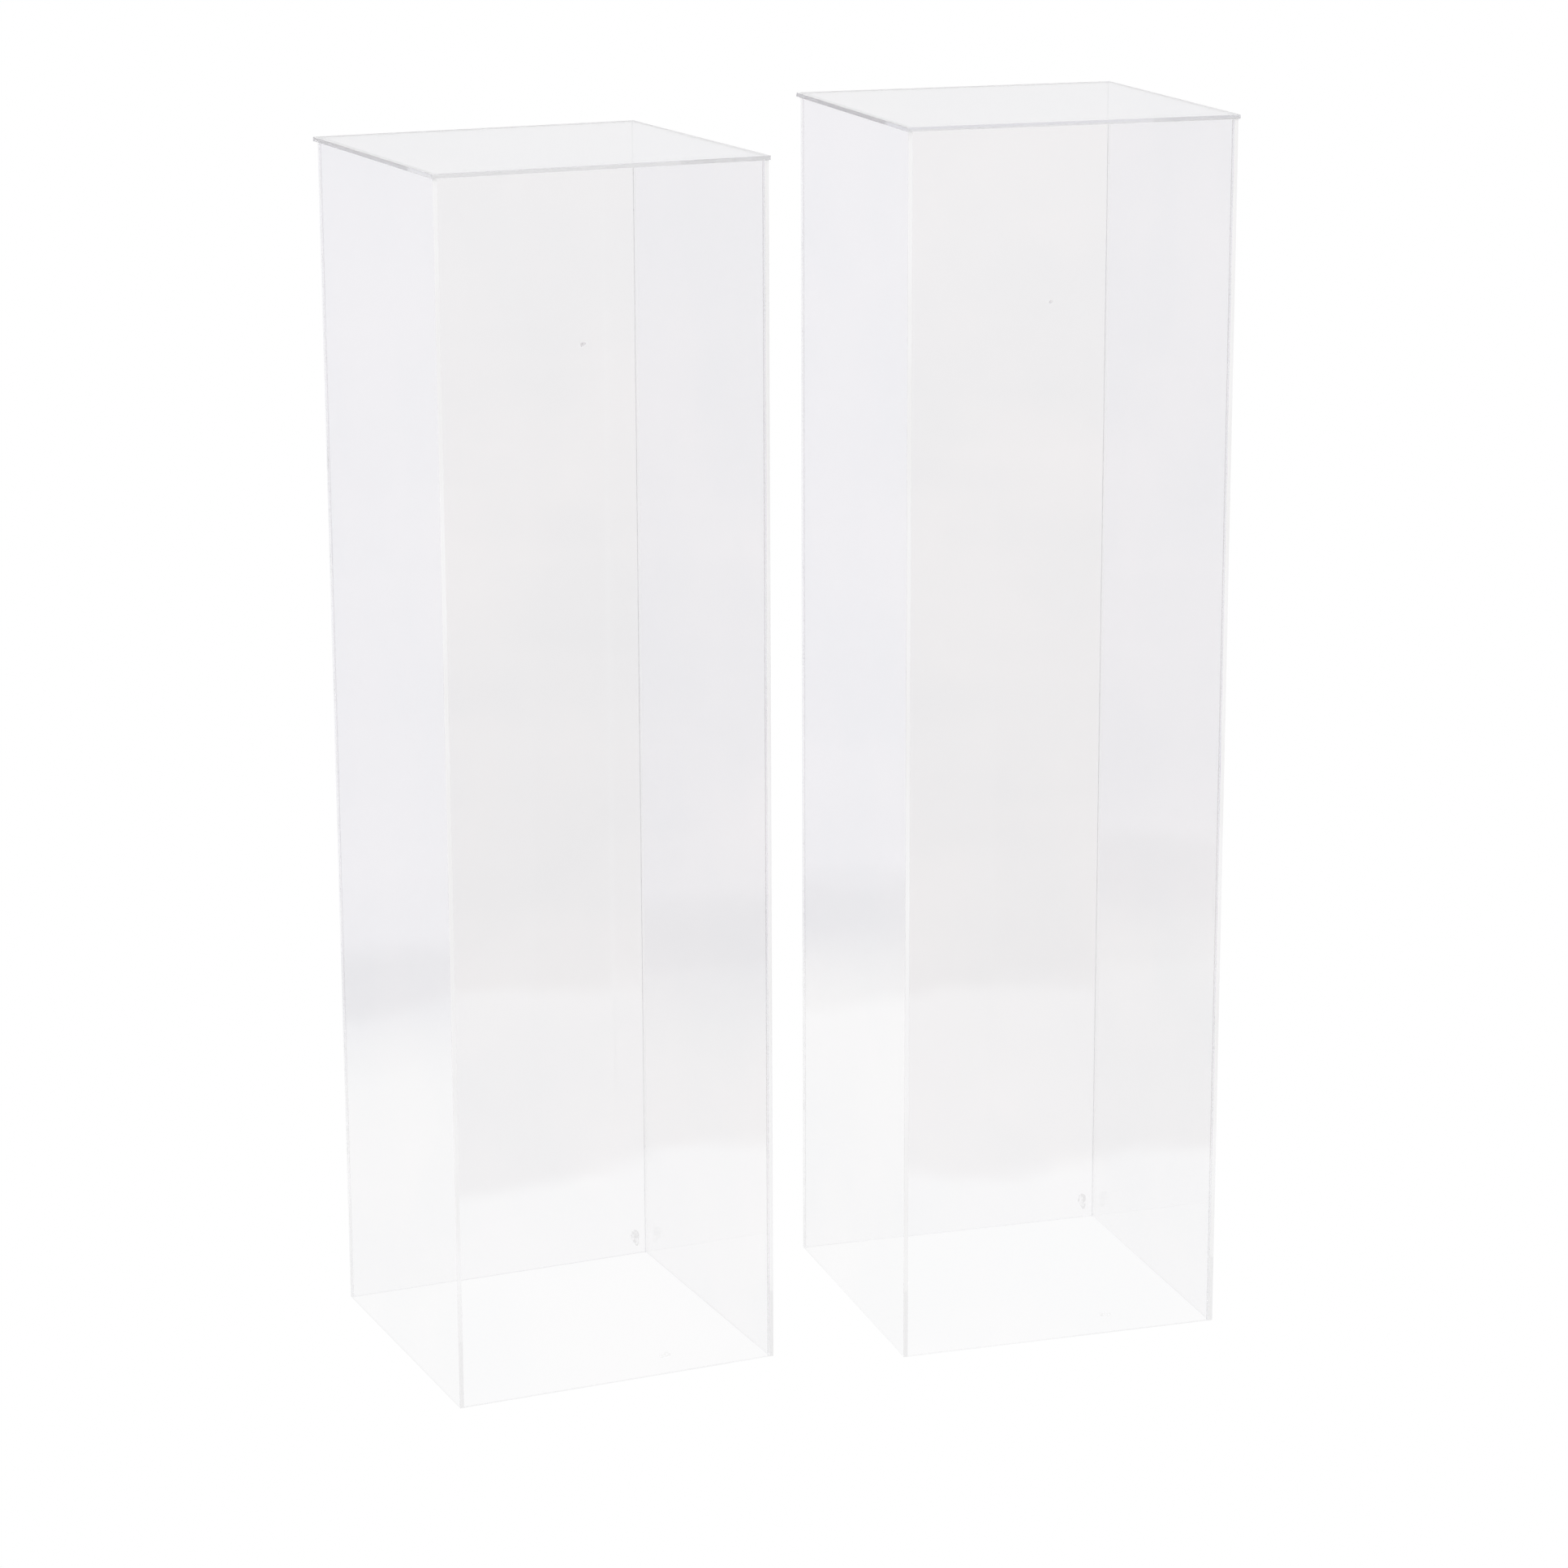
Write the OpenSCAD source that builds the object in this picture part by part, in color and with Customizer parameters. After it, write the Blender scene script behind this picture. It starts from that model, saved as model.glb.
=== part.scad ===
// Pair of free-standing display plinths in clear acrylic sheet.
// Each one is a square column of four cemented walls, open underneath, under a loose lid sheet.
// Millimetres, +Z up. The origin is on the floor, under the middle of the pair's bounding box.

/* [Column] */
// Outside width of a column, from its left wall to its right wall
column_w = 250; // [150:5:400]
// Outside depth of a column, from its front wall to its back wall
column_d = 250; // [150:5:400]
// Thickness of the wall sheets
wall_t = 3; // [2:0.5:8]
// Height of the left plinth, lid included
left_h = 900; // [400:10:1500]
// Height of the right plinth, lid included
right_h = 920; // [400:10:1500]

/* [Lid] */
// Thickness of a lid sheet
lid_t = 3; // [2:0.5:10]
// Distance that a lid stands out past the walls on each side
lid_overhang = 1.5; // [0:0.5:6]
// Turn of a lid on its column, anticlockwise from above, in degrees
lid_turn = 0.35; // [-1:0.05:1]
// Distance that a lid lies off centre, to the left
lid_shift = 0.8; // [0:0.1:2]

/* [Edges] */
// Width of the 45 degree break on each bare edge that a hand can touch
edge_break = 0.4; // [0.2:0.1:0.9]

/* [Pair] */
// Narrowest gap along X between the two columns' walls
pair_gap = 88; // [20:1:400]
// Distance that the right plinth stands forward of the left one
right_forward = 58; // [-200:1:200]
// Turn of the right plinth, anticlockwise from above, in degrees
right_turn = -6.5; // [-45:0.5:45]

/* [Hidden] */
// Spare length of a cutting profile past each end of the sheet it shapes
profile_spare = 10;
// Clear sheet, barely cool, and mostly see-through
CLEAR_SHEET = [0.90, 0.91, 0.94, 0.35];
// The lid sheet reads a little darker, because its polished edges gather light
LID_SHEET = [0.80, 0.81, 0.85, 0.5];

lid_w = column_w + 2 * lid_overhang;
lid_d = column_d + 2 * lid_overhang;

// Half the length along X, and along Y, of a w by d rectangle turned by a degrees
function half_span_x(w, d, a) = (w * abs(cos(a)) + d * abs(sin(a))) / 2;
function half_span_y(w, d, a) = (w * abs(sin(a)) + d * abs(cos(a))) / 2;

// Middle of each lid, measured from the middle of its own column
left_lid_off = [-lid_shift, 0];
right_lid_off = [-lid_shift * cos(right_turn), -lid_shift * sin(right_turn)];

// Middle of the right column, measured from the middle of the left one
pair_step = [column_w / 2 + pair_gap + half_span_x(column_w, column_d, right_turn), -right_forward];

// What the walls and the lid of each plinth reach, measured from the middle of the left column
left_wall_span = [column_w / 2, column_d / 2];
left_lid_span = [half_span_x(lid_w, lid_d, lid_turn), half_span_y(lid_w, lid_d, lid_turn)];
right_wall_span = [
    half_span_x(column_w, column_d, right_turn),
    half_span_y(column_w, column_d, right_turn)
];
right_lid_span = [
    half_span_x(lid_w, lid_d, right_turn + lid_turn),
    half_span_y(lid_w, lid_d, right_turn + lid_turn)
];
right_lid_mid = pair_step + right_lid_off;
pair_low = [for (i = [0, 1]) min(
    -left_wall_span[i],
    left_lid_off[i] - left_lid_span[i],
    pair_step[i] - right_wall_span[i],
    right_lid_mid[i] - right_lid_span[i]
)];
pair_high = [for (i = [0, 1]) max(
    left_wall_span[i],
    left_lid_off[i] + left_lid_span[i],
    pair_step[i] + right_wall_span[i],
    right_lid_mid[i] + right_lid_span[i]
)];
left_pos = -(pair_low + pair_high) / 2;
right_pos = left_pos + pair_step;

// Puts its children, drawn round a column's middle, where each plinth stands
module at_left() {
    translate([left_pos[0], left_pos[1], 0])
        children();
}

module at_right() {
    translate([right_pos[0], right_pos[1], 0])
        rotate([0, 0, right_turn])
            children();
}

// A w by h rectangle round the origin with all four corners broken
module broken_rectangle(w, h) {
    polygon([
        [-w / 2 + edge_break, -h / 2],
        [w / 2 - edge_break, -h / 2],
        [w / 2, -h / 2 + edge_break],
        [w / 2, h / 2 - edge_break],
        [w / 2 - edge_break, h / 2],
        [-w / 2 + edge_break, h / 2],
        [-w / 2, h / 2 - edge_break],
        [-w / 2, -h / 2 + edge_break]
    ]);
}

// Lid sheet: the crossing of a profile that runs front to back and one that runs left to right
module lid_sheet(plinth_h) {
    translate([-lid_shift, 0, plinth_h - lid_t / 2])
        rotate([0, 0, lid_turn])
            intersection() {
                rotate([90, 0, 0])
                    linear_extrude(height = lid_d + 2 * profile_spare, center = true)
                        broken_rectangle(lid_w, lid_t);
                rotate([90, 0, 90])
                    linear_extrude(height = lid_w + 2 * profile_spare, center = true)
                        broken_rectangle(lid_d, lid_t);
            }
}

// Side wall, the full depth of the column: side is -1 for left and 1 for right.
// Its two bare upright edges, on the outside of the column, are broken.
module side_wall(side, plinth_h) {
    outer = column_w / 2;
    inner = outer - wall_t;
    linear_extrude(height = plinth_h - lid_t)
        polygon([
            [side * inner, -column_d / 2],
            [side * (outer - edge_break), -column_d / 2],
            [side * outer, -column_d / 2 + edge_break],
            [side * outer, column_d / 2 - edge_break],
            [side * (outer - edge_break), column_d / 2],
            [side * inner, column_d / 2]
        ]);
}

// Front or back wall, cemented between the side walls: side is -1 for front and 1 for back
module cross_wall(side, plinth_h) {
    translate([-column_w / 2 + wall_t, side * (column_d - wall_t) / 2 - wall_t / 2, 0])
        cube([column_w - 2 * wall_t, wall_t, plinth_h - lid_t]);
}

module left_plinth_lid() {
    color(LID_SHEET)
        at_left()
            lid_sheet(left_h);
}

module left_plinth_front_wall() {
    color(CLEAR_SHEET)
        at_left()
            cross_wall(-1, left_h);
}

module left_plinth_back_wall() {
    color(CLEAR_SHEET)
        at_left()
            cross_wall(1, left_h);
}

module left_plinth_left_wall() {
    color(CLEAR_SHEET)
        at_left()
            side_wall(-1, left_h);
}

module left_plinth_right_wall() {
    color(CLEAR_SHEET)
        at_left()
            side_wall(1, left_h);
}

module right_plinth_lid() {
    color(LID_SHEET)
        at_right()
            lid_sheet(right_h);
}

module right_plinth_front_wall() {
    color(CLEAR_SHEET)
        at_right()
            cross_wall(-1, right_h);
}

module right_plinth_back_wall() {
    color(CLEAR_SHEET)
        at_right()
            cross_wall(1, right_h);
}

module right_plinth_left_wall() {
    color(CLEAR_SHEET)
        at_right()
            side_wall(-1, right_h);
}

module right_plinth_right_wall() {
    color(CLEAR_SHEET)
        at_right()
            side_wall(1, right_h);
}

left_plinth_lid();
left_plinth_front_wall();
left_plinth_back_wall();
left_plinth_left_wall();
left_plinth_right_wall();
right_plinth_lid();
right_plinth_front_wall();
right_plinth_back_wall();
right_plinth_left_wall();
right_plinth_right_wall();
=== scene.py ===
"""Two free-standing display plinths in clear acrylic sheet, in a white studio.

Each plinth is four cemented walls under a loose lid sheet. Every sheet of the frame gets a finer twin,
with eased arrises, polished faces, sawn and flame-polished edges, and solvent-cemented seams.
Metres, +Z up, in the frame's own axes.
"""

from itertools import combinations
from math import cos, pi, radians, sin

import bmesh
import bpy
from mathutils import Matrix, Vector


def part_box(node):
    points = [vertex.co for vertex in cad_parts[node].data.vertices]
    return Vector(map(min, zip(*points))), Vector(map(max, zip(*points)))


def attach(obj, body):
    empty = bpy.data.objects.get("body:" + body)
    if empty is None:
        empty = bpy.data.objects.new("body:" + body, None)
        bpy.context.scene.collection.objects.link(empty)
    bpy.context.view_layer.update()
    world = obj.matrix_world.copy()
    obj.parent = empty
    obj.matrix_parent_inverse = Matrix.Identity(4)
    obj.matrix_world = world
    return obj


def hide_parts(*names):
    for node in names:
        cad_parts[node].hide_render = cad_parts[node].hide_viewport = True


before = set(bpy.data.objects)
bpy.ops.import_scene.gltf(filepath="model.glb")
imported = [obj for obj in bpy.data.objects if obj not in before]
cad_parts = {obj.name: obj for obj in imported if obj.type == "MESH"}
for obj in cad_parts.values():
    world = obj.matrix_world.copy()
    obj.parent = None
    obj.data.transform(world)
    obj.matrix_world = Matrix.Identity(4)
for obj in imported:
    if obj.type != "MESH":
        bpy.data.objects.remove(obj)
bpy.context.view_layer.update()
scene = bpy.context.scene

MM = 0.001

# ---------------------------------------------------------------- sizes of the finish
ARRIS = 0.25 * MM            # radius that a column's bare upright edges are eased to
END_EASE = 0.12 * MM         # radius on the other edges, which the flame only touches
LID_CORNER = 0.6 * MM        # radius of a lid's four corners in plan
SEAM_GAP = 0.04 * MM         # clear distance between two sheets that meet
BEAD_RADIUS = 0.36 * MM      # cement squeezed out along an inside corner
BEAD_STANDS_OFF = 1.5 * BEAD_RADIUS  # from both walls to the middle of a bead
DROP_SMALLEST = (0.08 * MM, 0.08 * MM, 0.13 * MM)    # half width, depth and height of the
DROP_LARGEST = (0.20 * MM, 0.20 * MM, 0.48 * MM)     # drops along a bead
MARK_LIFT = 0.01 * MM        # clear distance between a dried mark and the face it lies on
MARK_POINTS = 18             # corners of a mark's outline
ARC_STEPS = 4                # straight pieces of an eased arris or a lid's corner, seen from above
EASE_STEPS = 3               # and of an eased top or bottom edge
SHORTEST_SIDE = 2 * MM       # corners of a CAD sheet closer than this are the two ends of a broken edge
SAME = 1e-9                  # closer than this is the same
ACRYLIC_IOR = 1.49

# places of the materials on every sheet
FACE_PLACE = 0
EDGE_PLACE = 1
SEAM_PLACE = 2

# ---------------------------------------------------------------- camera
CAMERA_AT = Vector((-1.3387, -3.0105, 1.2703))
CAMERA_AZIMUTH = radians(-23.88)     # 0 looks along +Y
CAMERA_PITCH = radians(-14.52)
CAMERA_ROLL = radians(0.18)
CAMERA_LENS = 104.0          # mm, as is the sensor
CAMERA_SENSOR = 36.0
CAMERA_NEAR = 0.05
CAMERA_FAR = 60.0


def make_camera():
    data = bpy.data.cameras.new("camera")
    data.lens = CAMERA_LENS
    data.sensor_width = CAMERA_SENSOR
    data.clip_start = CAMERA_NEAR
    data.clip_end = CAMERA_FAR
    camera = bpy.data.objects.new("camera", data)
    scene.collection.objects.link(camera)
    look = Matrix.Rotation(CAMERA_AZIMUTH, 4, "Z") @ Matrix.Rotation(pi / 2 + CAMERA_PITCH, 4, "X")
    camera.matrix_world = Matrix.Translation(CAMERA_AT) @ look @ Matrix.Rotation(-CAMERA_ROLL, 4, "Z")
    scene.camera = camera


make_camera()


# ---------------------------------------------------------------- shader maths
class Value:
    """A number or vector on a wire of a node tree, with Python's operators for its Math nodes."""

    def __init__(self, tree, socket):
        self.tree = tree
        self.socket = socket

    def node(self, kind, settings=None, **inputs):
        return add_node(self.tree, kind, settings, **inputs)

    def _math(self, operation, a, b):
        return self.node("ShaderNodeMath", {"operation": operation}, i0=a, i1=b)["Value"]

    def __add__(self, other):
        return self._math("ADD", self, other)

    def __radd__(self, other):
        return self._math("ADD", other, self)

    def __sub__(self, other):
        return self._math("SUBTRACT", self, other)

    def __rsub__(self, other):
        return self._math("SUBTRACT", other, self)

    def __mul__(self, other):
        return self._math("MULTIPLY", self, other)

    def __rmul__(self, other):
        return self._math("MULTIPLY", other, self)

    def __gt__(self, other):
        return self._math("GREATER_THAN", self, other)

    def ramp(self, low, high, smooth=True):
        """0 at low and before it, 1 at high and past it."""
        settings = {"interpolation_type": "SMOOTHSTEP" if smooth else "LINEAR"}
        made = self.node("ShaderNodeMapRange", settings, Value=self, **{"From Min": low, "From Max": high})
        return made["Result"]


class Outputs:
    """The outputs of one node, each wrapped as a Value when it is asked for."""

    def __init__(self, tree, node):
        self.tree = tree
        self.made = node

    def __getitem__(self, name):
        return Value(self.tree, self.made.outputs[name])


def add_node(tree, kind, settings=None, **inputs):
    """Adds a node. settings go on the node first, then the values or links of its inputs.

    An input is given by its name, or by i0, i1 and so on for its place.
    """
    made = tree.nodes.new(kind)
    for name, value in (settings or {}).items():
        setattr(made, name, value)
    for name, value in inputs.items():
        place = int(name[1:]) if name[0] == "i" and name[1:].isdigit() else name
        socket = made.inputs[place]
        if isinstance(value, Value):
            tree.links.new(value.socket, socket)
        else:
            socket.default_value = value
    return Outputs(tree, made)


def new_material(name):
    material = bpy.data.materials.new(name)
    material.use_nodes = True
    tree = material.node_tree
    tree.nodes.clear()
    return material, tree


def mix_colour(tree, factor, a, b):
    made = tree.nodes.new("ShaderNodeMix")
    made.data_type = "RGBA"
    for place, value in ((0, factor), (6, a), (7, b)):
        if isinstance(value, Value):
            tree.links.new(value.socket, made.inputs[place])
        else:
            made.inputs[place].default_value = value
    return Value(tree, made.outputs[2])


def noise(tree, where, scale, detail, roughness):
    """Cloudy noise: scale is its swellings per metre, detail its finer layers, roughness their weight."""
    sizes = {"Scale": scale, "Detail": detail, "Roughness": roughness}
    return add_node(tree, "ShaderNodeTexNoise", None, Vector=where, **sizes)["Fac"]


# ---------------------------------------------------------------- studio
RAY_TURNS = 128              # the most that a ray may turn before it is given up
PIPED_TURNS = 30.5           # a ray mirrored more often than this is light piped along a sheet
PAPER_FRONT = -0.54          # where the white paper under the plinths ends, towards the camera
BAND_START = 0.74            # a strip of painted shade crosses the mirrored floor behind them: where it starts, where it ends, and how far back it runs for each metre to the right
BAND_END = 1.16              # where it ends,
BAND_SLANT = 0.30            # and how far back it runs for each metre to the right
PAPER_WANDER = 0.22          # how far the edges of paper and strip wander
PAPER_EDGE = (3.6, 3.0, 0.5)         # the noise that they wander by: scale, detail and roughness
PAPER_BLUR = 0.03            # half the width over which the paper's front edge fades
BAND_FADE = 0.06             # the strip is at its full tone this far short of its end,
BAND_BLEND = 0.14            # and takes this long to turn into the floor beyond
ROOM_NEAR_Y = -1.2           # the room's floor is at its darkest this far in front,
ROOM_FAR_Y = -5.5            # and at its palest this far
ROOM_PATCHES = (1.8, 2.0, 0.5)       # the noise of the warm patches on it,
ROOM_PATCH_EDGE = (0.40, 0.66)       # and the levels between which a patch fades in
ROOM_DARK = (0.205, 0.150, 0.158, 1.0)
ROOM_WARM = (0.430, 0.335, 0.315, 1.0)
ROOM_FAR = (0.480, 0.430, 0.440, 1.0)
ROOM_CEILING = (0.60, 0.60, 0.62, 1.0)
ROOM_PALE = (0.900, 0.900, 0.905, 1.0)
CEILING_TO_PALE = (-0.35, 0.25)      # how far back a direction points, where one turns into the other
PAPER_MIRRORED = (0.95, 0.95, 0.95, 1.0)
FLOOR_COOL = (0.845, 0.840, 0.900, 1.0)
# painted shade: the tone of the strip that the sheets mirror behind the plinths
MIRRORED_SHADE_STRIP = (0.70, 0.70, 0.75, 1.0)
WHITE = (1.0, 1.0, 1.0, 1.0)
FLOOR_SIZE = 40.0
FLOOR_DROP = 0.05 * MM       # the floor lies just under the columns, so their feet aren't in it
SOFT_BOXES = (               # name, place, width in metres and power in watts
    ("soft_box_over", (0.0, 0.2, 3.2), 2.6, 9.0),
    ("soft_box_left", (-2.6, -0.6, 1.9), 1.6, 3.0),
)
SOFT_BOXES_FACE = Vector((0, 0, 0.4))    # the point that both are turned to


def reflected_once(tree):
    """1 on a ray that has mirrored off a sheet, 0 on one seen straight or straight through the sheets.

    Light piped along inside a sheet, which has turned many times, counts as straight too.
    """
    depth = add_node(tree, "ShaderNodeLightPath")["Glossy Depth"]
    return (depth > 0.5) - (depth > PIPED_TURNS)


def room_front(tree, where):
    """The unlit floor on the camera's side: dark with dim warm patches, and paler far off."""
    patches = noise(tree, where, *ROOM_PATCHES).ramp(*ROOM_PATCH_EDGE)
    near = mix_colour(tree, patches, ROOM_DARK, ROOM_WARM)
    y = add_node(tree, "ShaderNodeSeparateXYZ", None, Vector=where)["Y"]
    return mix_colour(tree, y.ramp(ROOM_FAR_Y, ROOM_NEAR_Y, smooth=False), ROOM_FAR, near)


def make_world():
    """White all round. Mirrored in the sheets it is the room above the floor.

    That is grey in front and pale at the back.
    """
    world = bpy.data.worlds.new("studio")
    world.use_nodes = True
    tree = world.node_tree
    tree.nodes.clear()
    direction = add_node(tree, "ShaderNodeTexCoord")["Generated"]
    split = add_node(tree, "ShaderNodeSeparateXYZ", None, Vector=direction)
    backwards = split["Y"].ramp(*CEILING_TO_PALE)
    room = mix_colour(tree, backwards, ROOM_CEILING, ROOM_PALE)
    seen = mix_colour(tree, reflected_once(tree), WHITE, room)
    light = add_node(tree, "ShaderNodeBackground", None, Color=seen)
    add_node(tree, "ShaderNodeOutputWorld", None, Surface=light["Background"])
    scene.world = world


def make_floor():
    """A plain white floor.

    Mirrored in the sheets it is a painted reflection: only rays that have mirrored off a sheet see its glow
    as white paper near them, a strip of painted shade behind them and the room's floor beyond.
    """
    material, tree = new_material("floor_white")
    where = add_node(tree, "ShaderNodeTexCoord")["Object"]
    split = add_node(tree, "ShaderNodeSeparateXYZ", None, Vector=where)
    wobble = (noise(tree, where, *PAPER_EDGE) - 0.5) * PAPER_WANDER
    y = split["Y"] + wobble
    behind = y - split["X"] * BAND_SLANT
    front = 1.0 - y.ramp(PAPER_FRONT - PAPER_BLUR, PAPER_FRONT + PAPER_BLUR)
    # a strip of painted shade across the mirrored floor behind the plinths
    strip = behind.ramp(BAND_START, BAND_END - BAND_FADE)
    far = behind.ramp(BAND_END, BAND_END + BAND_BLEND)
    beyond = mix_colour(tree, far, MIRRORED_SHADE_STRIP, FLOOR_COOL)
    paper = mix_colour(tree, strip, PAPER_MIRRORED, beyond)
    room = mix_colour(tree, front, paper, room_front(tree, where))
    # painted reflection: white to straight rays, paper, painted shade and room only to rays mirrored off a
    # sheet
    seen = mix_colour(tree, reflected_once(tree), WHITE, room)
    glow = add_node(tree, "ShaderNodeEmission", None, Color=seen)
    add_node(tree, "ShaderNodeOutputMaterial", None, Surface=glow["Emission"])
    half = FLOOR_SIZE / 2
    corners = [(-half, -half, 0), (half, -half, 0), (half, half, 0), (-half, half, 0)]
    mesh = bpy.data.meshes.new("floor")
    mesh.from_pydata(corners, [], [(0, 1, 2, 3)])
    mesh.materials.append(material)
    floor = bpy.data.objects.new("floor", mesh)
    floor.location.z = -FLOOR_DROP
    scene.collection.objects.link(floor)


def make_lights():
    """A broad soft box overhead and a weaker one from the left."""
    for name, place, size, power in SOFT_BOXES:
        data = bpy.data.lights.new(name, "AREA")
        data.shape = "SQUARE"
        data.size = size
        data.energy = power
        lamp = bpy.data.objects.new(name, data)
        lamp.location = place
        aim = SOFT_BOXES_FACE - Vector(place)
        lamp.rotation_euler = aim.to_track_quat("-Z", "Y").to_euler()
        lamp.visible_glossy = False
        scene.collection.objects.link(lamp)


# ---------------------------------------------------------------- acrylic
FOOT_HEIGHT = 52.0 * MM      # how far up the sawn ends are scuffed by floors
FOOT_RAGGED = 3.0 * MM       # how ragged the top of that scuffing is
FOOT_TINT = (0.845, 0.840, 0.845, 1.0)

# noises: scale, detail and roughness. Streaks and saw lines are scaled before they reach theirs.
TINT_DRIFT = (7.0, 3.0, 0.55)
FOOT_NOISE = (160.0, 2.0, 0.5)
SHEET_RIPPLE = (5.0, 1.0, 0.4)
WIPED_CLOUDS = (38.0, 4.0, 0.62)
WIPED_STREAKS = (1.0, 3.0, 0.6)
SAWN = (1.0, 2.0, 0.7)
FILM_CRUST = (900.0, 3.0, 0.6)
FILM_POOLS = (260.0, 2.0, 0.5)
BUBBLY_PATCHES = (26.0, 2.0, 0.5)

# the two levels of a noise between which one look turns into another
TINT_TURNS = (0.38, 0.64)
HAZE_STARTS = (0.48, 0.72)
FILM_TURNS = (0.35, 0.65)
BUBBLES_START = (0.52, 0.66)

WIPE_STREAKS = (90.0, 90.0, 9.0)     # streaks of haze per metre, longer up the sheet than across it
CLOUDS_SHARE = 0.6                   # of the haze. Streaks are the rest.
STREAKS_SHARE = 0.4
SAW_LINES = (1400.0, 60.0, 1.0)      # saw lines per metre along a cut edge, and their breaks across it
SAW_STRENGTH = 0.6


def acrylic(name, tints, roughness, clear, wave, grain=0.0, glow=None):
    """Clear cast acrylic.

    tints are the two colours it drifts between, and roughness its two extremes. clear is the share of
    light that it lets through, and the rest is scattered. wave is the height of the sheet's slow ripple,
    and grain that of the fine saw lines across a cut edge. glow is for a sawn end: the colour of the light
    behind it that glows through it into the sheet. A sawn end is also scuffed at its foot.
    """
    material, tree = new_material(name)
    where = add_node(tree, "ShaderNodeTexCoord")["Object"]
    cloudy = noise(tree, where, *TINT_DRIFT).ramp(*TINT_TURNS)
    colour = mix_colour(tree, cloudy, tints[0], tints[1])
    if glow:
        height = add_node(tree, "ShaderNodeSeparateXYZ", None, Vector=where)["Z"]
        ragged = height + noise(tree, where, *FOOT_NOISE) * FOOT_RAGGED
        foot = 1.0 - ragged.ramp(FOOT_HEIGHT, FOOT_HEIGHT + FOOT_RAGGED)
        colour = mix_colour(tree, foot, colour, FOOT_TINT)
    ripple = noise(tree, where, *SHEET_RIPPLE)
    wiped = noise(tree, where, *WIPED_CLOUDS)
    upright = add_node(tree, "ShaderNodeMapping", None, Vector=where, Scale=WIPE_STREAKS)["Vector"]
    streaks = noise(tree, upright, *WIPED_STREAKS)
    haze = (wiped * CLOUDS_SHARE + streaks * STREAKS_SHARE).ramp(*HAZE_STARTS)
    rough = haze * (roughness[1] - roughness[0]) + roughness[0]
    normal = add_node(tree, "ShaderNodeBump", None, Strength=1.0, Distance=wave, Height=ripple)["Normal"]
    if grain:
        along = add_node(tree, "ShaderNodeUVMap", {"uv_map": "sheet"})["UV"]
        lines = add_node(tree, "ShaderNodeMapping", None, Vector=along, Scale=SAW_LINES)["Vector"]
        saw = noise(tree, lines, *SAWN)
        relief = {"Strength": SAW_STRENGTH, "Distance": grain, "Height": saw, "Normal": normal}
        normal = add_node(tree, "ShaderNodeBump", None, **relief)["Normal"]
    shader = add_node(
        tree,
        "ShaderNodeBsdfPrincipled",
        None,
        Roughness=rough,
        Normal=normal,
        IOR=ACRYLIC_IOR,
        **{"Base Color": colour, "Transmission Weight": clear},
    )
    surface = shader["BSDF"]
    if glow:
        inside = add_node(tree, "ShaderNodeNewGeometry")["Backfacing"]
        through = add_node(tree, "ShaderNodeBsdfTranslucent", None, Color=glow)["BSDF"]
        sides = {"i0": inside, "i1": surface, "i2": through}
        surface = add_node(tree, "ShaderNodeMixShader", None, **sides)["Shader"]
    add_node(tree, "ShaderNodeOutputMaterial", None, Surface=surface)
    return material


CRUST_HEIGHT = 0.08 * MM
CRUST_STRENGTH = 0.7
FILM_SMOOTHEST = 0.35        # roughness in a film's hollows
FILM_ROUGHER = 0.4           # and what its crust adds to that


def dried_film(name, tints, cover):
    """A dried drop, thin enough to see through in places.

    cover is how much it hides, at its thinnest and at its thickest.
    """
    material, tree = new_material(name)
    where = add_node(tree, "ShaderNodeTexCoord")["Object"]
    crust = noise(tree, where, *FILM_CRUST)
    pools = noise(tree, where, *FILM_POOLS).ramp(*FILM_TURNS)
    relief = {"Strength": CRUST_STRENGTH, "Distance": CRUST_HEIGHT, "Height": crust}
    bump = add_node(tree, "ShaderNodeBump", None, **relief)
    shader = add_node(
        tree,
        "ShaderNodeBsdfPrincipled",
        None,
        Roughness=FILM_SMOOTHEST + FILM_ROUGHER * crust,
        Normal=bump["Normal"],
        Alpha=pools * (cover[1] - cover[0]) + cover[0],
        **{"Base Color": mix_colour(tree, crust.ramp(*FILM_TURNS), tints[0], tints[1])},
    )
    add_node(tree, "ShaderNodeOutputMaterial", None, Surface=shader["BSDF"])
    return material


BUBBLE_PLACES = 420.0        # places for a bubble, per metre
BUBBLE_RIM = (0.10, 0.20)    # how far out it starts to fade and where it ends, as shares of a place
SEAM_CLEAR = (0.985, 0.985, 0.985, 1.0)
BUBBLE_PALE = (0.86, 0.87, 0.88, 1.0)


def cemented_seam():
    """Where cement has joined two sheets light goes straight on, past pin bubbles trapped in the joint."""
    material, tree = new_material("cemented_seam")
    along = add_node(tree, "ShaderNodeUVMap", {"uv_map": "sheet"})["UV"]
    flat_cells = {"voronoi_dimensions": "2D"}
    spread = {"Vector": along, "Scale": BUBBLE_PLACES, "Randomness": 1.0}
    cells = add_node(tree, "ShaderNodeTexVoronoi", flat_cells, **spread)["Distance"]
    patch = noise(tree, along, *BUBBLY_PATCHES)
    bubbles = (1.0 - cells.ramp(*BUBBLE_RIM)) * patch.ramp(*BUBBLES_START)
    clear = add_node(tree, "ShaderNodeBsdfTransparent", None, Color=SEAM_CLEAR)["BSDF"]
    pin = add_node(tree, "ShaderNodeBsdfDiffuse", None, Color=BUBBLE_PALE)["BSDF"]
    made = add_node(tree, "ShaderNodeMixShader", None, i0=bubbles, i1=clear, i2=pin)["Shader"]
    add_node(tree, "ShaderNodeOutputMaterial", None, Surface=made)
    return material


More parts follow.
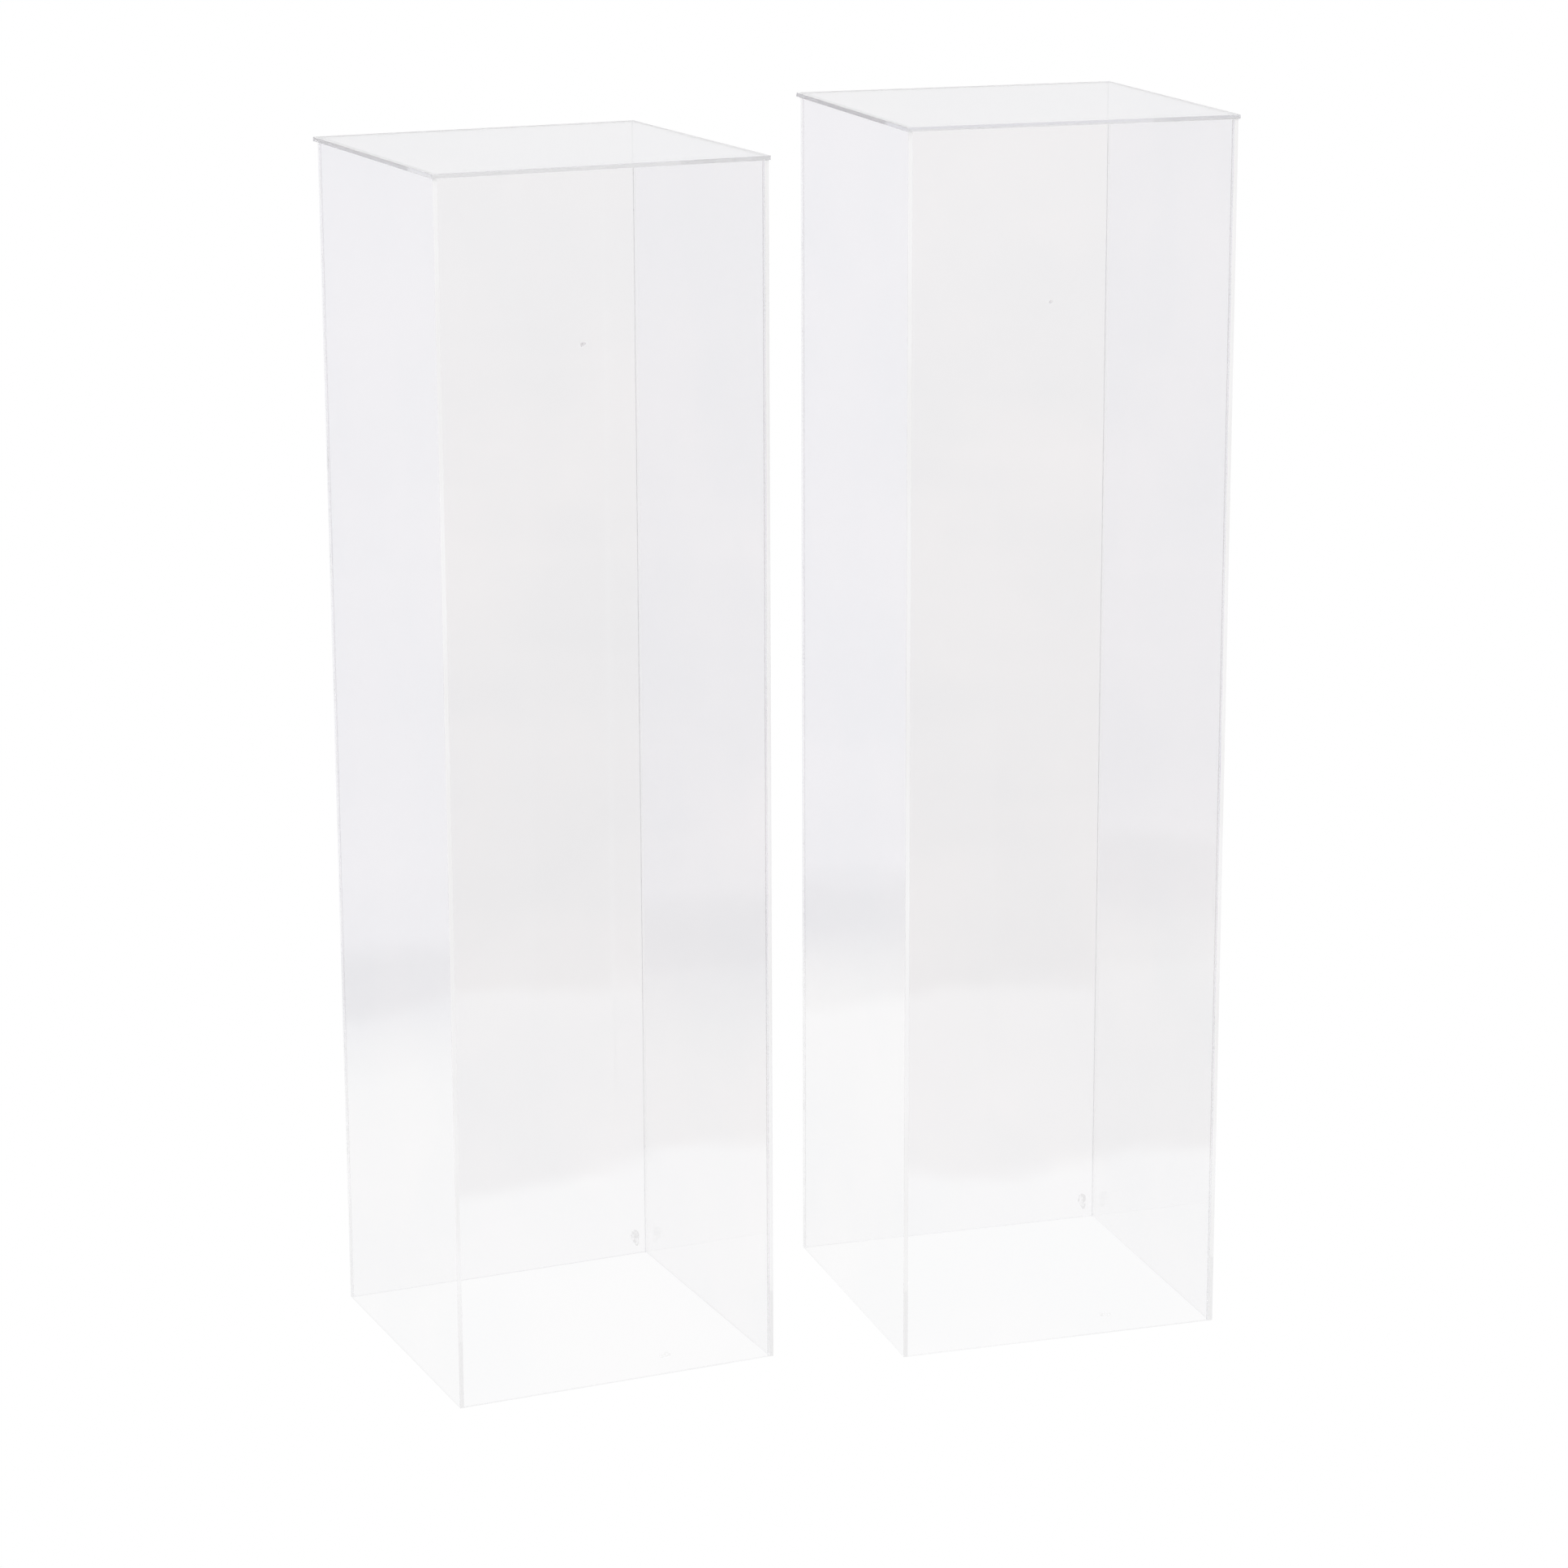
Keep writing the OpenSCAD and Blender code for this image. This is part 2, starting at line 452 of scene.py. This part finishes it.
FACE_TINTS = ((0.976, 0.972, 0.975, 1.0), (0.963, 0.963, 0.968, 1.0))
EDGE_TINTS = ((0.975, 0.975, 0.985, 1.0), (0.950, 0.950, 0.955, 1.0))
END_TINTS = ((0.925, 0.923, 0.930, 1.0), (0.885, 0.880, 0.882, 1.0))
END_GLOW = (0.960, 0.960, 0.965, 1.0)
BEAD_TINTS = ((0.96, 0.96, 0.97, 1.0), (0.93, 0.93, 0.94, 1.0))
FLECK_TINTS = ((0.60, 0.57, 0.60, 1.0), (0.76, 0.74, 0.75, 1.0))
RUN_TINTS = ((0.96, 0.96, 0.96, 1.0), (0.88, 0.87, 0.86, 1.0))
WALL_FACE = acrylic("acrylic_wall_face", FACE_TINTS, (0.002, 0.03), clear=1.0, wave=0.14 * MM)
LID_FACE = acrylic("acrylic_lid_face", FACE_TINTS, (0.002, 0.02), clear=1.0, wave=0.02 * MM)
EDGE = acrylic(
    "acrylic_flamed_edge",
    EDGE_TINTS,
    (0.015, 0.09),
    clear=0.68,
    wave=0.06 * MM,
    grain=0.008 * MM,
)
END = acrylic(
    "acrylic_sawn_end",
    END_TINTS,
    (0.30, 0.50),
    clear=0.0,
    wave=0.06 * MM,
    grain=0.04 * MM,
    glow=END_GLOW,
)
SEAM = cemented_seam()
BEAD = acrylic("acrylic_cement_bead", BEAD_TINTS, (0.02, 0.12), clear=0.9, wave=0.10 * MM)
FLECK = dried_film("dried_fleck", FLECK_TINTS, cover=(0.20, 0.44))
RUN = dried_film("dried_cement", RUN_TINTS, cover=(0.04, 0.20))


# ---------------------------------------------------------------- where the frame's sheets stand
def plan_rectangle(node):
    """The tightest rectangle round a node seen from above, and the node's lowest and highest Z.

    The rectangle is given by its middle, its long side's direction and its two lengths.
    """
    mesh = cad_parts[node].data
    points = sorted({(round(v.co.x, 6), round(v.co.y, 6)) for v in mesh.vertices})
    best = None
    for (ax, ay), (bx, by) in combinations(points, 2):
        u = Vector((bx - ax, by - ay))
        if u.length < SHORTEST_SIDE:
            continue
        u.normalize()
        v = Vector((-u.y, u.x))
        us = [x * u.x + y * u.y for x, y in points]
        vs = [x * v.x + y * v.y for x, y in points]
        spans = (max(us) - min(us), max(vs) - min(vs))
        area = spans[0] * spans[1]
        if best is None or area < best[0] - SAME:
            middle = u * (max(us) + min(us)) / 2 + v * (max(vs) + min(vs)) / 2
            best = (area, middle, u, spans)
    _, middle, u, spans = best
    if spans[1] > spans[0]:
        u = Vector((-u.y, u.x))
        spans = (spans[1], spans[0])
    low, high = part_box(node)
    return middle, u, spans[0], spans[1], low.z, high.z


def placed(middle, x_axis):
    """The matrix that puts local X along x_axis, a direction in plan, with its origin at middle."""
    y_axis = Vector((-x_axis.y, x_axis.x))
    return Matrix(
        (
            (x_axis.x, y_axis.x, 0, middle.x),
            (x_axis.y, y_axis.y, 0, middle.y),
            (0, 0, 1, 0),
            (0, 0, 0, 1),
        )
    )


# ---------------------------------------------------------------- sheets
MOSTLY = 0.7                 # share of a face's normal along an axis that it mostly points along


def arc(centre, radius, start, end):
    """Points on an arc, angles in degrees."""
    return [
        (centre[0] + radius * cos(radians(a)), centre[1] + radius * sin(radians(a)))
        for a in (start + (end - start) * i / ARC_STEPS for i in range(ARC_STEPS + 1))
    ]


def build_sheet(name, outline, kinds, low, high, ease, matrix, flat):
    """A sheet from its outline in plan, anticlockwise.

    kinds has the place of a material for each stretch of the outline. flat tells a lid from a wall: a
    lid's large faces are its top and bottom, and a wall's are upright.
    """
    work = bmesh.new()
    under = [work.verts.new((x, y, low)) for x, y in outline]
    over = [work.verts.new((x, y, high)) for x, y in outline]
    count = len(outline)
    for i in range(count):
        j = (i + 1) % count
        face = work.faces.new((under[i], under[j], over[j], over[i]))
        face.material_index = kinds[i]
        face.smooth = (under[i].co - under[j].co).length < MM
    for ring in (list(reversed(under)), over):
        face = work.faces.new(ring)
        face.material_index = FACE_PLACE if flat else EDGE_PLACE
    rims = [e for e in work.edges if abs(e.verts[0].co.z - e.verts[1].co.z) < SAME]
    made = bmesh.ops.bevel(
        work,
        geom=rims,
        offset=ease,
        offset_type="OFFSET",
        segments=EASE_STEPS,
        profile=0.5,
        affect="EDGES",
        clamp_overlap=True,
        material=EDGE_PLACE,
    )
    for face in made["faces"]:
        face.smooth = True
    bmesh.ops.recalc_face_normals(work, faces=work.faces)
    uv = work.loops.layers.uv.new("sheet")
    for face in work.faces:
        n = face.normal
        for loop in face.loops:
            p = loop.vert.co
            if abs(n.z) > MOSTLY:
                loop[uv].uv = (p.x, p.y)
            elif abs(n.y) > abs(n.x):
                loop[uv].uv = (p.x, p.z)
            else:
                loop[uv].uv = (p.z, p.y)
    work.transform(matrix)
    mesh = bpy.data.meshes.new(name)
    work.to_mesh(mesh)
    work.free()
    for material in (LID_FACE, EDGE, SEAM) if flat else (WALL_FACE, END, SEAM):
        mesh.materials.append(material)
    piece = bpy.data.objects.new(name, mesh)
    scene.collection.objects.link(piece)
    return piece


def side_sheet(name, node, column_middle):
    """A wall the full depth of the column, with its two outer arrises eased and two seam strips inside."""
    middle, u, length, thick, low, high = plan_rectangle(node)
    out = middle - column_middle
    if Vector((-u.y, u.x)).dot(out) < 0:
        u = -u
    half, t = length / 2, thick / 2
    seam = half - thick
    outline = [(-half, -t), (-seam, -t), (seam, -t), (half, -t)]
    outline += arc((half - ARRIS, t - ARRIS), ARRIS, 0, 90)
    outline += arc((-half + ARRIS, t - ARRIS), ARRIS, 90, 180)
    kinds = [SEAM_PLACE, FACE_PLACE, SEAM_PLACE, EDGE_PLACE]
    kinds += [EDGE_PLACE] * ARC_STEPS + [FACE_PLACE] + [EDGE_PLACE] * ARC_STEPS + [EDGE_PLACE]
    return build_sheet(name, outline, kinds, low, high - SEAM_GAP, END_EASE, placed(middle, u), False)


def cross_sheet(name, node, column_middle):
    """A wall cemented between the side walls by both its ends."""
    middle, u, length, thick, low, high = plan_rectangle(node)
    out = middle - column_middle
    if Vector((-u.y, u.x)).dot(out) < 0:
        u = -u
    half, t = length / 2 - SEAM_GAP, thick / 2
    outline = [(-half, -t), (half, -t), (half, t), (-half, t)]
    kinds = [FACE_PLACE, SEAM_PLACE, FACE_PLACE, SEAM_PLACE]
    return build_sheet(name, outline, kinds, low, high - SEAM_GAP, END_EASE, placed(middle, u), False)


def lid_sheet(name, node):
    """The loose sheet on top, with eased edges and barely rounded corners."""
    middle, u, length, depth, low, high = plan_rectangle(node)
    half_x, half_y, r = length / 2, depth / 2, LID_CORNER
    outline = []
    for sign_x, sign_y, start in ((1, 1, 0), (-1, 1, 90), (-1, -1, 180), (1, -1, 270)):
        outline += arc((sign_x * (half_x - r), sign_y * (half_y - r)), r, start, start + 90)
    kinds = [EDGE_PLACE] * len(outline)
    return build_sheet(name, outline, kinds, low, high, END_EASE, placed(middle, u), True)


# ---------------------------------------------------------------- cement beads
BEAD_SIZES = {
    "Height": 0.9,           # set again for each column
    "Radius": BEAD_RADIUS,
    "Waver": 0.35,           # share by which a bead swells and thins
    "Step": 0.006,           # length of its straight pieces
    "Drops": 9000.0,         # drops on each square metre of a bead's skin
}
BEAD_SIDES = 8
BEAD_WAVES = 22.0            # swellings per metre, roughly
DROP_PLACES_SEED = 7
DROP_SIZES_SEED = 11


def bead_tree():
    """Geometry nodes: a thin wavering bead of cement up each inside corner that it is given as a point."""
    tree = bpy.data.node_groups.new("cement_beads", "GeometryNodeTree")
    face = tree.interface
    face.new_socket("Geometry", in_out="INPUT", socket_type="NodeSocketGeometry")
    for name, size in BEAD_SIZES.items():
        made = face.new_socket(name, in_out="INPUT", socket_type="NodeSocketFloat")
        made.default_value = size
    face.new_socket("Bead", in_out="INPUT", socket_type="NodeSocketMaterial")
    face.new_socket("Geometry", in_out="OUTPUT", socket_type="NodeSocketGeometry")
    given = Outputs(tree, tree.nodes.new("NodeGroupInput"))
    top = add_node(tree, "ShaderNodeCombineXYZ", None, Z=given["Height"])["Vector"]
    line = add_node(tree, "GeometryNodeCurvePrimitiveLine", {"mode": "POINTS"}, End=top)["Curve"]
    by_length = {"mode": "LENGTH"}
    line = add_node(tree, "GeometryNodeResampleCurve", by_length, Curve=line, Length=given["Step"])["Curve"]
    stood = {"Points": given["Geometry"], "Instance": line}
    stood = add_node(tree, "GeometryNodeInstanceOnPoints", None, **stood)["Instances"]
    lines = add_node(tree, "GeometryNodeRealizeInstances", None, Geometry=stood)["Geometry"]
    place = add_node(tree, "GeometryNodeInputPosition")["Position"]
    drift = add_node(tree, "ShaderNodeTexNoise", None, Vector=place, Scale=BEAD_WAVES, Detail=2.0)["Fac"]
    width = given["Radius"] * (1.0 + given["Waver"] * (2.0 * drift - 1.0))
    circle = {"Resolution": BEAD_SIDES, "Radius": 1.0}
    ring = add_node(tree, "GeometryNodeCurvePrimitiveCircle", {"mode": "RADIUS"}, **circle)["Curve"]
    skin = {"Curve": lines, "Scale": width, "Profile Curve": ring, "Fill Caps": True}
    rods = add_node(tree, "GeometryNodeCurveToMesh", None, **skin)["Mesh"]
    scatter = {"Mesh": rods, "Density": given["Drops"], "Seed": DROP_PLACES_SEED}
    anywhere = {"distribute_method": "RANDOM"}
    spots = add_node(tree, "GeometryNodeDistributePointsOnFaces", anywhere, **scatter)["Points"]
    drop = add_node(tree, "GeometryNodeMeshIcoSphere", None, Radius=1.0, Subdivisions=1)["Mesh"]
    sizes = {"i0": DROP_SMALLEST, "i1": DROP_LARGEST, "Seed": DROP_SIZES_SEED}
    sizes = add_node(tree, "FunctionNodeRandomValue", {"data_type": "FLOAT_VECTOR"}, **sizes)["Value"]
    drops = {"Points": spots, "Instance": drop, "Scale": sizes}
    drops = add_node(tree, "GeometryNodeInstanceOnPoints", None, **drops)["Instances"]
    both = tree.nodes.new("GeometryNodeJoinGeometry")
    tree.links.new(rods.socket, both.inputs[0])
    tree.links.new(drops.socket, both.inputs[0])
    joined = Value(tree, both.outputs[0])
    solid = add_node(tree, "GeometryNodeRealizeInstances", None, Geometry=joined)["Geometry"]
    finish = {"Geometry": solid, "Material": given["Bead"]}
    solid = add_node(tree, "GeometryNodeSetMaterial", None, **finish)["Geometry"]
    add_node(tree, "NodeGroupOutput", None, Geometry=solid)
    return tree


def cement_beads(name, tree, corners, height):
    """The beads of one column as a plain mesh."""
    seeds = bpy.data.meshes.new(name + "_corners")
    seeds.from_pydata([tuple(c) for c in corners], [], [])
    holder = bpy.data.objects.new(name + "_corners", seeds)
    scene.collection.objects.link(holder)
    modifier = holder.modifiers.new("beads", "NODES")
    modifier.node_group = tree
    for item in tree.interface.items_tree:
        if item.in_out == "INPUT" and item.name == "Height":
            modifier[item.identifier] = height
        if item.in_out == "INPUT" and item.name == "Bead":
            modifier[item.identifier] = BEAD
    bpy.context.view_layer.update()
    seen = holder.evaluated_get(bpy.context.evaluated_depsgraph_get())
    mesh = bpy.data.meshes.new_from_object(seen)
    mesh.name = name
    bpy.data.objects.remove(holder)
    piece = bpy.data.objects.new(name, mesh)
    scene.collection.objects.link(piece)
    return piece


# ---------------------------------------------------------------- small marks of use
FLECK_ASIDE = -17 * MM       # from the middle of the front wall, to the right
FLECK_BELOW_LID = {"left": 121 * MM, "right": 125 * MM}
FLECK_SIZE = {"left": 1.0, "right": 0.72}
SMEAR_ASIDE = 37 * MM        # from the middle of the front wall, to the right
SMEAR_UP = 15 * MM
RUN_IN = 9 * MM              # from the right end of the back wall's inside
RUN_UP = 14 * MM
MARK_RINGS = ((1.0, 0.0), (0.93, 0.6), (0.62, 0.95))     # shares of its reach and of its thickness
MARK_WANDER = (0.16, 0.11, 0.05)     # how much its outline wanders in 2, 3 and 5 waves round
# half width, half height and thickness of each mark, and the turn of its outline
FLECK_SHAPE = (1.8 * MM, 1.6 * MM, 0.12 * MM, 0.4)
SMEAR_SHAPE = (4.0 * MM, 1.9 * MM, 0.08 * MM, 1.9)
RUN_SHAPE = (3.2 * MM, 7.0 * MM, 0.20 * MM, 2.7)


def make_mark(name, centre, right, out, shape, material, size=1.0):
    """A thin dried drop with a wandering outline, lying against an upright face."""
    half_width, half_height, thickness, turn = shape
    half_width *= size
    half_height *= size
    up = Vector((0, 0, 1))
    work = bmesh.new()
    rings = []
    in_2, in_3, in_5 = MARK_WANDER
    for share, rise in MARK_RINGS:
        ring = []
        for i in range(MARK_POINTS):
            a = 2 * pi * i / MARK_POINTS
            wander = in_2 * sin(2 * a + turn) + in_3 * sin(3 * a + 2 * turn) + in_5 * sin(5 * a)
            reach = share * (1 + wander)
            place = right * (cos(a) * reach * half_width) + up * (sin(a) * reach * half_height)
            ring.append(work.verts.new(centre + place + out * (rise * thickness)))
        rings.append(ring)
    work.faces.new(rings[0])
    peak = work.verts.new(centre + out * thickness)
    for i in range(MARK_POINTS):
        j = (i + 1) % MARK_POINTS
        for low, high in zip(rings, rings[1:]):
            work.faces.new((low[i], low[j], high[j], high[i]))
        work.faces.new((rings[-1][i], rings[-1][j], peak))
    bmesh.ops.recalc_face_normals(work, faces=work.faces)
    for face in work.faces:
        face.smooth = len(face.verts) < 5
    mesh = bpy.data.meshes.new(name)
    work.to_mesh(mesh)
    work.free()
    mesh.materials.append(material)
    piece = bpy.data.objects.new(name, mesh)
    scene.collection.objects.link(piece)
    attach(piece, "columns")


# ---------------------------------------------------------------- the two plinths
def make_plinth(side, beads):
    """One plinth's five sheets and its cement beads."""
    column = side + "_plinth_"
    front = plan_rectangle(column + "front_wall")
    back = plan_rectangle(column + "back_wall")
    middle = (front[0] + back[0]) / 2
    pieces = [
        ("columns", side_sheet(column + "left_sheet", column + "left_wall", middle), "left_wall"),
        ("columns", side_sheet(column + "right_sheet", column + "right_wall", middle), "right_wall"),
        ("columns", cross_sheet(column + "front_sheet", column + "front_wall", middle), "front_wall"),
        ("columns", cross_sheet(column + "back_sheet", column + "back_wall", middle), "back_wall"),
        (side + "_lid", lid_sheet(column + "lid_sheet", column + "lid"), "lid"),
    ]
    for body, piece, node in pieces:
        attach(piece, body)
        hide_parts(column + node)
    _, u, length, thick, low, high = front
    v = Vector((-u.y, u.x))
    reach_u = length / 2 - BEAD_STANDS_OFF
    reach_v = (front[0] - back[0]).length / 2 - thick / 2 - BEAD_STANDS_OFF
    corners = [
        (*(middle + u * su * reach_u + v * sv * reach_v), low + END_EASE)
        for su in (-1, 1)
        for sv in (-1, 1)
    ]
    out = (front[0] - middle).normalized()
    right = Vector((-out.y, out.x, 0))
    out = Vector((out.x, out.y, 0))
    on_front = Vector((*front[0], 0)) + out * (thick / 2 + MARK_LIFT)
    on_back = Vector((*back[0], 0)) + out * (thick / 2 + MARK_LIFT)
    fleck_at = on_front + right * FLECK_ASIDE + Vector((0, 0, high - FLECK_BELOW_LID[side]))
    smear_at = on_front + right * SMEAR_ASIDE + Vector((0, 0, low + SMEAR_UP))
    run_at = on_back + right * (length / 2 - RUN_IN) + Vector((0, 0, low + RUN_UP))
    make_mark(column + "fleck", fleck_at, right, out, FLECK_SHAPE, FLECK, FLECK_SIZE[side])
    make_mark(column + "front_smear", smear_at, right, out, SMEAR_SHAPE, RUN)
    make_mark(column + "cement_run", run_at, right, out, RUN_SHAPE, RUN)
    bead = cement_beads(column + "cement_beads", beads, corners, high - low - 4 * END_EASE)
    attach(bead, "columns")


make_world()
make_floor()
make_lights()
beads = bead_tree()
for side in ("left", "right"):
    make_plinth(side, beads)

# a ray that clear sheet pipes from one side of a column to the other turns about 65 times on its way
scene.cycles.max_bounces = RAY_TURNS
scene.cycles.glossy_bounces = RAY_TURNS
scene.cycles.transmission_bounces = RAY_TURNS
scene.view_settings.view_transform = "Standard"
